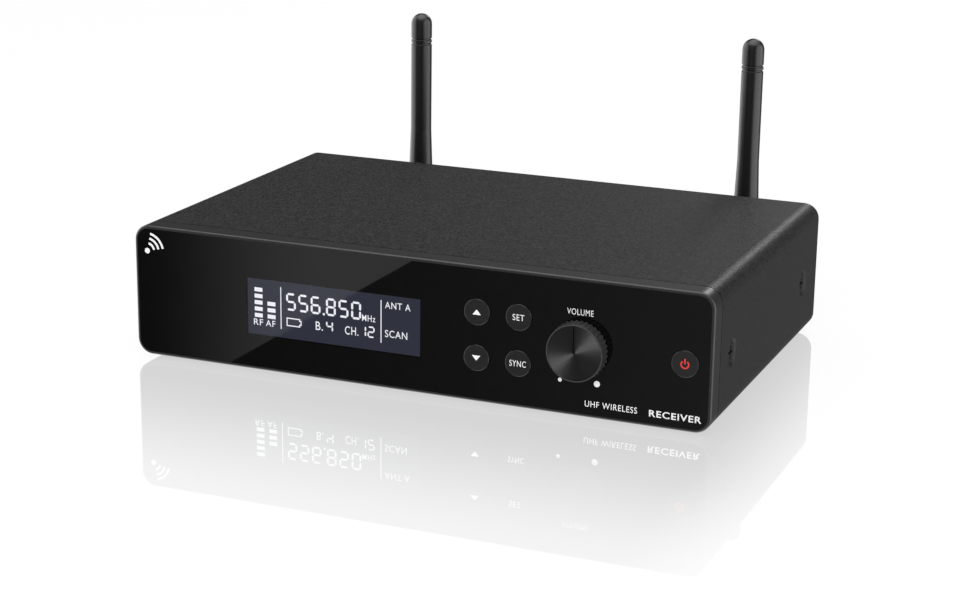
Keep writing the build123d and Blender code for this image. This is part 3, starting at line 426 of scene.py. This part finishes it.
# Seven segments of a digit, in its own unit box: (x, z) ends of each bar.
SEGMENTS = {
    "a": ((0, 2), (1, 2)),
    "b": ((1, 2), (1, 1)),
    "c": ((1, 1), (1, 0)),
    "d": ((0, 0), (1, 0)),
    "e": ((0, 1), (0, 0)),
    "f": ((0, 2), (0, 1)),
    "g": ((0, 1), (1, 1)),
}
DIGITS = {
    "0": "abcdef", "1": "ef", "2": "abged", "4": "fgbc", "5": "afgcd", "6": "afgedc", "8": "abcdefg",
}
SEGMENT_GAP = 0.18        # share of the stroke left free at each end of a bar
SEGMENT_TIP = 0.5         # share of the stroke that the pointed end takes

# The display's layout, in shares of the window's width: DISPLAY_ACROSS of them side by side.
DISPLAY_ACROSS = 62.2
LEVEL_COLUMNS = ((2.5, 5), (7.2, 3))       # left edge, number of bars
LEVEL_Z, LEVEL_STEP = 5.9, 2.18
LEVEL_SIZE = (2.9, 1.35)
RULES_X = (11.95, 47.85)
RULE_Z = 2.9
RULE_SIZE = (0.32, 14.2)
BIG_FIGURES = ((14.4, "5"), (18.85, "5"), (23.3, "6"), (28.8, "8"), (33.3, "5"), (37.8, "0"))
BIG_Z = 9.9
BIG_SIZE = (2.8, 5.2, 0.72)                # width, height, stroke
POINT_PLACE = (27.3, 9.5)
POINT_SIZE = (0.7, 0.7)
SMALL_FIGURES = ((28.7, "4"), (42.5, "1"), (43.5, "2"))
SMALL_Z = 4.3
SMALL_SIZE = (2.0, 3.3, 0.5)
BATTERY_PLACE = (14.3, 4.4)
BATTERY_OUTLINE = (
    (0, 0), (4.6, 0), (4.6, 0.6), (5.1, 0.6), (5.1, 1.9), (4.6, 1.9), (4.6, 2.5), (0, 2.5), (0, 0),
)
BATTERY_STROKE = 0.36
CAPTION_BOLD = 0.004
CAPTIONS = (                               # name, words, left edge, foot, (width, capital height)
    ("display_rf", "RF", 2.1, 3.2, (3.4, 2.1)),
    ("display_af", "AF", 6.5, 3.2, (3.5, 2.1)),
    ("display_mhz", "MHz", 41.3, 9.4, (4.7, 2.1)),
    ("display_bank", "B.", 24.7, 4.2, (2.6, 2.9)),
    ("display_channel", "CH.", 35.2, 4.1, (4.8, 2.8)),
    ("display_antenna", "ANT A", 49.4, 14.6, (8.9, 2.2)),
    ("display_scan", "SCAN", 49.4, 5.0, (7.8, 2.4)),
)


def bar_outline(start, end, width):
    """One display segment: a bar with pointed ends."""
    along = (Vector(end) - Vector(start)).normalized()
    across = Vector((-along.y, along.x)) * width / 2
    gap = along * width * SEGMENT_GAP
    tip = along * width * SEGMENT_TIP
    first = Vector(start) + gap
    last = Vector(end) - gap
    points = [first, first + tip + across, last - tip + across,
              last, last - tip - across, first + tip - across]
    return [(p.x, p.y) for p in points]


def digit_outlines(figure, x, z, width, height, stroke):
    """Outlines of one seven-segment figure whose strokes' middle lines fill width by height."""
    bars = []
    for letter in DIGITS[figure]:
        ends = [(x + px * width, z + pz * height / 2) for px, pz in SEGMENTS[letter]]
        bars.append(bar_outline(*ends, stroke))
    return bars


def rectangle(x, z, width, height):
    """Outline of an upright rectangle from its lower left corner."""
    return [(x, z), (x + width, z), (x + width, z + height), (x, z + height)]


def display_outlines(left, foot, unit):
    """Outlines of everything on the display but its words."""
    def block(x, z, size):
        return rectangle(left + x * unit, foot + z * unit, size[0] * unit, size[1] * unit)

    outlines = []
    for column, count in LEVEL_COLUMNS:
        for step in range(count):
            outlines.append(block(column, LEVEL_Z + LEVEL_STEP * step, LEVEL_SIZE))
    for x in RULES_X:
        outlines.append(block(x, RULE_Z, RULE_SIZE))
    for x, figure in BIG_FIGURES:
        outlines += digit_outlines(figure, left + x * unit, foot + BIG_Z * unit,
                                   *(size * unit for size in BIG_SIZE))
    outlines.append(block(*POINT_PLACE, POINT_SIZE))
    for x, figure in SMALL_FIGURES:
        outlines += digit_outlines(figure, left + x * unit, foot + SMALL_Z * unit,
                                   *(size * unit for size in SMALL_SIZE))
    corner = Vector((left + BATTERY_PLACE[0] * unit, foot + BATTERY_PLACE[1] * unit))
    stroke = BATTERY_STROKE * unit
    for start, end in zip(BATTERY_OUTLINE, BATTERY_OUTLINE[1:]):
        first = corner + Vector(start) * unit
        last = corner + Vector(end) * unit
        along = (last - first).normalized() * stroke / 2
        outlines.append(ribbon_outline([tuple(first - along), tuple(last + along)], stroke))
    return outlines


def display_contents():
    """Level bars, frequency, bank, channel and captions on the LCD, behind the window."""
    low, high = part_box("display_window")
    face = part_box("lcd_glass")[0].y
    left, foot = low.x, low.z
    unit = (high.x - low.x) / DISPLAY_ACROSS
    pieces = [flat_piece("display_segments", display_outlines(left, foot, unit), face, SEGMENT_WHITE)]
    for name, text, x, z, size in CAPTIONS:
        middle_x = left + (x + size[0] / 2) * unit
        fitted = tuple(value * unit for value in size)
        pieces.append(lettering(name, text, middle_x, foot + z * unit, fitted, face, SEGMENT_WHITE,
                                bold=CAPTION_BOLD))
    for piece in pieces:
        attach(piece, "housing")


panel_legends()
wave_mark()
button_legends()
display_contents()


# ---- floor, backdrop and light ----
FLOOR_SIZE = 30.0
FLOOR_GLOW = 1.04
FLOOR_SHADE = 0.15        # share of the floor that takes soft shadow
MIRROR_NEAR = 0.32        # mirror share of the floor beside the object
MIRROR_FAR = 0.10
MIRROR_FADE = (0.010, 0.110)   # metres in front of the housing between which it fades
MIRROR_SIDE = 0.035       # metres beside the housing over which it fades
AMBIENT = 0.5
GLOSS_DARK = 0.06         # what the gloss sees ahead of and behind the object
GLOSS_MIDDLE = 0.28       # what it sees right ahead of and right behind the camera's line
GLOSS_BRIGHT = 2.2        # what it sees overhead, underfoot and at either side
GLOSS_SIDE = (0.6, 0.85)  # parts of a direction between which the gloss changes
GLOSS_ABOVE = (0.65, 0.9)
MIDDLE_RISE = (-0.5, -0.05)
MIDDLE_FALL = (0.05, 0.3)
CARD_AWAY = 1.2           # reflected card in front of the panel
CARD_GLOW = (0.68, 0.06)
CARD_SHARES = ((-0.3, -0.2), (0.105, -0.2), (0.57, 1.2), (-0.3, 1.2))   # its corners' reflections
CARD_FADE = (0.36, 0.0)   # shares of the panel's width between which the card's reflection dims
KNOB_LAMP_AWAY = Vector((-0.095, -1.18, -0.155))   # lamp in front of the knob, for its face only
KNOB_LAMP_SIZE = (0.2, 0.2)
KNOB_LAMP_POWER = 4.0
TOP_LIGHT = ("top_light", (-0.3, 0, 1.2), (0, 0, 0), (1.0, 1.0), 2)        # place, aim, size, watts
FRONT_LIGHT = ("front_light", (0.2, -1.4, 0.9), (0, -0.05, 0.03), (0.8, 0.5), 11)
RIDGE_LIGHT = ("ridge_light", (0.06, 1.3, 0.68), (0.1, 0.05, 0.05), (0.3, 0.45), 1.6)


def stage_mesh(name, corners, material):
    """A flat card through given corners that isn't part of the object."""
    mesh = bpy.data.meshes.new(name)
    mesh.from_pydata(corners, [], [tuple(range(len(corners)))])
    mesh.materials.append(material)
    card = bpy.data.objects.new(name, mesh)
    bpy.context.scene.collection.objects.link(card)
    return card


def ramp_between(tree, value, low, high, start, end):
    """Smooth change from start to end while a value goes from low to high."""
    node = tree.nodes.new("ShaderNodeMapRange")
    node.interpolation_type = "SMOOTHSTEP"
    node.inputs["From Min"].default_value = low
    node.inputs["From Max"].default_value = high
    node.inputs["To Min"].default_value = start
    node.inputs["To Max"].default_value = end
    tree.links.new(value, node.inputs["Value"])
    return node.outputs["Result"]


def combine(tree, operation, first, second=None):
    """A maths node on one or two sockets, or a socket and a number."""
    node = tree.nodes.new("ShaderNodeMath")
    node.operation = operation
    for slot, value in zip(node.inputs, (first, second)):
        if isinstance(value, (int, float)):
            slot.default_value = value
        elif value is not None:
            tree.links.new(value, slot)
    return node.outputs[0]


def floor_material():
    """White floor: evenly lit, a little shaded, and mirror-like close to the object's front."""
    material = bpy.data.materials.new("floor_white")
    material.use_nodes = True
    tree = material.node_tree
    tree.nodes.clear()
    lit = tree.nodes.new("ShaderNodeEmission")
    lit.inputs["Strength"].default_value = FLOOR_GLOW
    shaded = tree.nodes.new("ShaderNodeBsdfDiffuse")
    shaded.inputs["Color"].default_value = (1, 1, 1, 1)
    matt = tree.nodes.new("ShaderNodeMixShader")
    matt.inputs["Fac"].default_value = FLOOR_SHADE
    tree.links.new(lit.outputs[0], matt.inputs[1])
    tree.links.new(shaded.outputs[0], matt.inputs[2])
    mirror = tree.nodes.new("ShaderNodeBsdfGlossy")
    mirror.inputs["Roughness"].default_value = 0
    mirror.inputs["Color"].default_value = (1, 1, 1, 1)
    place = tree.nodes.new("ShaderNodeTexCoord")
    split = tree.nodes.new("ShaderNodeSeparateXYZ")
    tree.links.new(place.outputs["Object"], split.inputs["Vector"])
    near, far = (PANEL_FACE - away for away in MIRROR_FADE)
    ahead = ramp_between(tree, split.outputs["Y"], far, near, MIRROR_FAR, MIRROR_NEAR)
    side = CAD_BOX[1][0]
    beside = ramp_between(tree, combine(tree, "ABSOLUTE", split.outputs["X"]), side,
                          side + MIRROR_SIDE, 1, MIRROR_FAR / MIRROR_NEAR)
    share = combine(tree, "MULTIPLY", ahead, beside)
    both = tree.nodes.new("ShaderNodeMixShader")
    tree.links.new(share, both.inputs["Fac"])
    tree.links.new(matt.outputs[0], both.inputs[1])
    tree.links.new(mirror.outputs[0], both.inputs[2])
    out = tree.nodes.new("ShaderNodeOutputMaterial")
    tree.links.new(both.outputs[0], out.inputs["Surface"])
    return material


def card_material(start, end):
    """Light-giving card that dims from one point to another."""
    material = bpy.data.materials.new("card_glow")
    material.use_nodes = True
    tree = material.node_tree
    tree.nodes.clear()
    place = tree.nodes.new("ShaderNodeTexCoord")
    reach = end - start
    shift = tree.nodes.new("ShaderNodeVectorMath")
    shift.operation = "SUBTRACT"
    shift.inputs[1].default_value = start
    tree.links.new(place.outputs["Object"], shift.inputs[0])
    dot = tree.nodes.new("ShaderNodeVectorMath")
    dot.operation = "DOT_PRODUCT"
    dot.inputs[1].default_value = reach / reach.length_squared
    tree.links.new(shift.outputs["Vector"], dot.inputs[0])
    lit = tree.nodes.new("ShaderNodeEmission")
    tree.links.new(ramp_between(tree, dot.outputs["Value"], 0, 1, *CARD_GLOW), lit.inputs["Strength"])
    out = tree.nodes.new("ShaderNodeOutputMaterial")
    tree.links.new(lit.outputs[0], out.inputs["Surface"])
    return material


def reflected_card(name, corners, material):
    """A light-giving card that is seen in reflections only."""
    material.cycles.emission_sampling = "NONE"
    card = stage_mesh(name, corners, material)
    card.visible_camera = False
    card.visible_diffuse = False
    card.visible_shadow = False
    card.visible_transmission = False


def card_corner(share_x, share_z):
    """Where the camera sees a card in front of the object, mirrored in a point of the panel.

    The point is given as shares of the panel's width from its left and of its height from its foot."""
    behind = Vector((CAMERA_PLACE.x, 2 * PANEL_FACE - CAMERA_PLACE.y, CAMERA_PLACE.z))
    x = PANEL_LOW.x + share_x * (PANEL_HIGH.x - PANEL_LOW.x)
    z = PANEL_LOW.z + share_z * (PANEL_HIGH.z - PANEL_LOW.z)
    ray = Vector((x, PANEL_FACE, z)) - behind
    return behind + ray * (1 + CARD_AWAY / -ray.y)


def make_stage():
    """Floor under the feet, and the pale card that the panel's left half reflects."""
    half = FLOOR_SIZE / 2
    corners = [(-half, -half, 0), (half, -half, 0), (half, half, 0), (-half, half, 0)]
    floor = stage_mesh("stage_floor", corners, floor_material())
    floor.visible_glossy = False
    fade = [card_corner(share, 0.5) for share in CARD_FADE]
    reflected_card("stage_card", [card_corner(*share) for share in CARD_SHARES], card_material(*fade))


def make_world():
    """White surroundings whose gloss is bright overhead and at the sides, dark ahead and behind."""
    world = bpy.data.worlds.new("studio")
    bpy.context.scene.world = world
    world.use_nodes = True
    tree = world.node_tree
    place = tree.nodes.new("ShaderNodeTexCoord")
    split = tree.nodes.new("ShaderNodeSeparateXYZ")
    tree.links.new(place.outputs["Generated"], split.inputs["Vector"])
    x, z = (split.outputs[axis] for axis in "XZ")
    at_side = ramp_between(tree, combine(tree, "ABSOLUTE", x), *GLOSS_SIDE, 0, GLOSS_BRIGHT)
    above_below = ramp_between(tree, combine(tree, "ABSOLUTE", z), *GLOSS_ABOVE, 0, GLOSS_BRIGHT)
    bright = combine(tree, "MAXIMUM", at_side, above_below)
    rise = ramp_between(tree, x, *MIDDLE_RISE, 0, GLOSS_MIDDLE)
    middle = combine(tree, "MULTIPLY", rise, ramp_between(tree, x, *MIDDLE_FALL, 1, 0))
    gloss = combine(tree, "ADD", combine(tree, "ADD", bright, GLOSS_DARK), middle)
    rays = tree.nodes.new("ShaderNodeLightPath")
    strength = AMBIENT
    for flag, value in (("Is Glossy Ray", gloss), ("Is Singular Ray", 1.0), ("Is Camera Ray", 1.0)):
        pick = tree.nodes.new("ShaderNodeMix")
        pick.data_type = "FLOAT"
        tree.links.new(rays.outputs[flag], pick.inputs[0])
        for slot, side in ((pick.inputs[2], strength), (pick.inputs[3], value)):
            if isinstance(side, float):
                slot.default_value = side
            else:
                tree.links.new(side, slot)
        strength = pick.outputs[0]
    tree.links.new(strength, tree.nodes["Background"].inputs["Strength"])
    tree.nodes["Background"].inputs["Color"].default_value = (1, 1, 1, 1)


def area_light(name, place, target, size, power):
    """A soft box that points at a place."""
    data = bpy.data.lights.new(name, "AREA")
    data.shape = "RECTANGLE"
    data.size, data.size_y = size
    data.energy = power
    light = bpy.data.objects.new(name, data)
    bpy.context.scene.collection.objects.link(light)
    light.location = place
    aim = Vector(target) - Vector(place)
    light.rotation_euler = aim.to_track_quat("-Z", "Y").to_euler()
    return light


def make_lights():
    """Soft lights above and in front, and a small one for the housing's edge."""
    area_light(*TOP_LIGHT)
    front = area_light(*FRONT_LIGHT)
    front.visible_glossy = False
    area_light(*RIDGE_LIGHT)


def make_knob_lamp():
    """A lamp low in front that reaches only the knob's spun face and is blocked by nothing else."""
    lamp = area_light("knob_lamp", KNOB + KNOB_LAMP_AWAY, KNOB, KNOB_LAMP_SIZE, KNOB_LAMP_POWER)
    reach = bpy.data.collections.new("knob_lamp_reach")
    reach.objects.link(frame["nodes"]["knob_face"])
    lamp.light_linking.receiver_collection = reach
    lamp.light_linking.blocker_collection = reach


make_stage()
make_world()
make_lights()
make_knob_lamp()
bpy.context.scene.view_settings.view_transform = "Standard"


def write_sizes():
    """Imports json; nothing is written."""
    import json


write_sizes()
